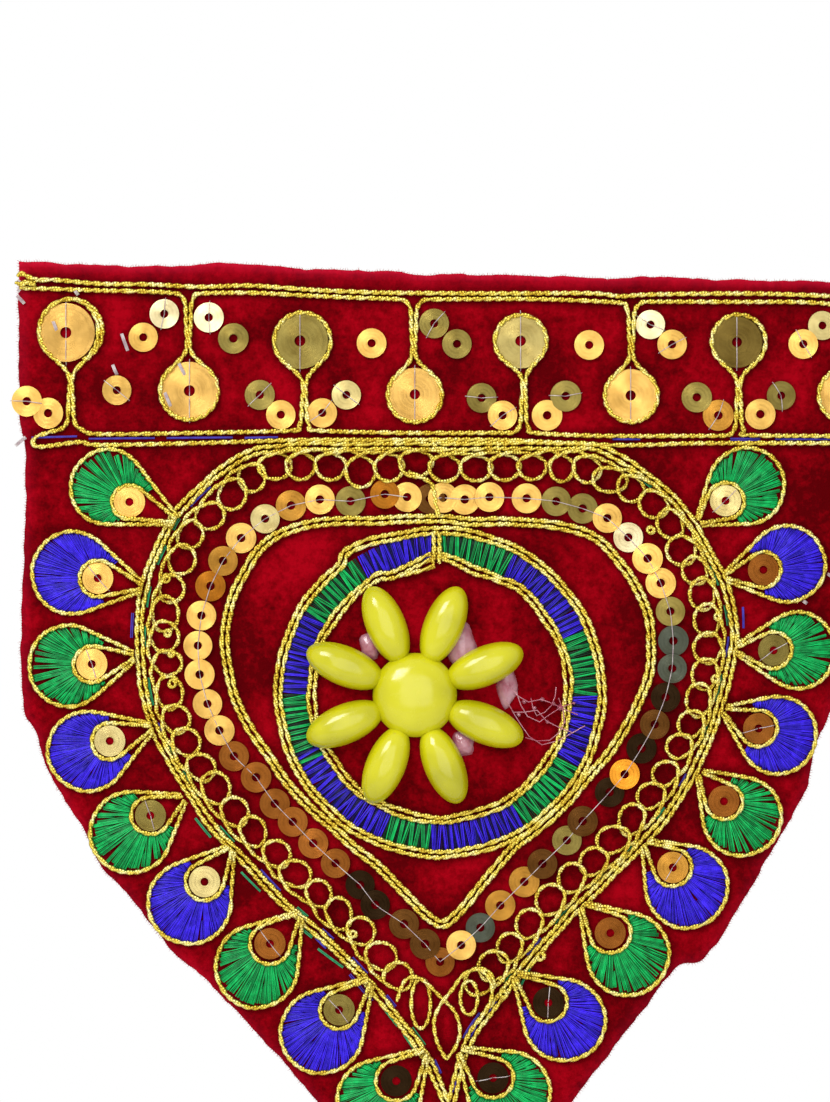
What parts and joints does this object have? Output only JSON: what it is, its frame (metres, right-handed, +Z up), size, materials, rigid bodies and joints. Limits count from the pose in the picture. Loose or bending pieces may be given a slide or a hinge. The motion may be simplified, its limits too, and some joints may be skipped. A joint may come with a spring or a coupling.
{
  "type": "toran door hanging pennant",
  "caption": "Embroidered red velvet pennant of a toran door hanging, with gold cord hearts, satin peacock eyes, sequins and a glued plastic flower.",
  "frame": {"origin": "middle of the top edge, in the cloth's middle plane", "axes": "+Z up along the pennant, +X to its right as seen from the front, the embroidered face looks along -Y"},
  "size_m": [0.1436, 0.0092, 0.1652],
  "materials": {
    "velvet": "short-pile velvet",
    "gold_cord": "twisted metallic cord",
    "green_silk": "satin stitch",
    "blue_silk": "satin stitch",
    "ring_silk": "satin stitch",
    "sequin": "metallised",
    "plastic": "gloss"
  },
  "bodies": {
    "root": {"velvet_panel": "velvet", "band_cord_top": "gold_cord", "band_cord_bottom": "gold_cord", "heart_cord_outer": "gold_cord", "heart_cord_inner": "gold_cord", "loop_chain_left": "gold_cord", "loop_chain_right": "gold_cord", "heart_sequins_left": "sequin", "heart_sequins_right": "sequin", "ring_cord_outer": "gold_cord", "ring_cord_inner": "gold_cord", "ring_satin": "ring_silk", "emblem": "plastic", "large_sequin_1": "sequin", "large_sequin_2": "sequin", "large_sequin_3": "sequin", "large_sequin_4": "sequin", "large_sequin_5": "sequin", "large_sequin_6": "sequin", "large_sequin_7": "sequin", "large_sequin_8": "sequin", "feather_cord_L1": "gold_cord", "feather_cord_L2": "gold_cord", "feather_cord_L3": "gold_cord", "feather_cord_L4": "gold_cord", "feather_cord_L5": "gold_cord", "feather_cord_L6": "gold_cord", "feather_cord_L7": "gold_cord", "feather_cord_L8": "gold_cord", "feather_cord_L9": "gold_cord", "feather_cord_R1": "gold_cord", "feather_cord_R2": "gold_cord", "feather_cord_R3": "gold_cord", "feather_cord_R4": "gold_cord", "feather_cord_R5": "gold_cord", "feather_cord_R6": "gold_cord", "feather_cord_R7": "gold_cord", "feather_cord_R8": "gold_cord", "feather_cord_R9": "gold_cord", "feather_fan_L1": "green_silk", "feather_fan_L2": "blue_silk", "feather_fan_L3": "green_silk", "feather_fan_L4": "blue_silk", "feather_fan_L5": "green_silk", "feather_fan_L6": "blue_silk", "feather_fan_L7": "green_silk", "feather_fan_L8": "blue_silk", "feather_fan_L9": "green_silk", "feather_fan_R1": "green_silk", "feather_fan_R2": "blue_silk", "feather_fan_R3": "green_silk", "feather_fan_R4": "blue_silk", "feather_fan_R5": "green_silk", "feather_fan_R6": "blue_silk", "feather_fan_R7": "green_silk", "feather_fan_R8": "blue_silk", "feather_fan_R9": "green_silk"}
  },
  "joints": []
}
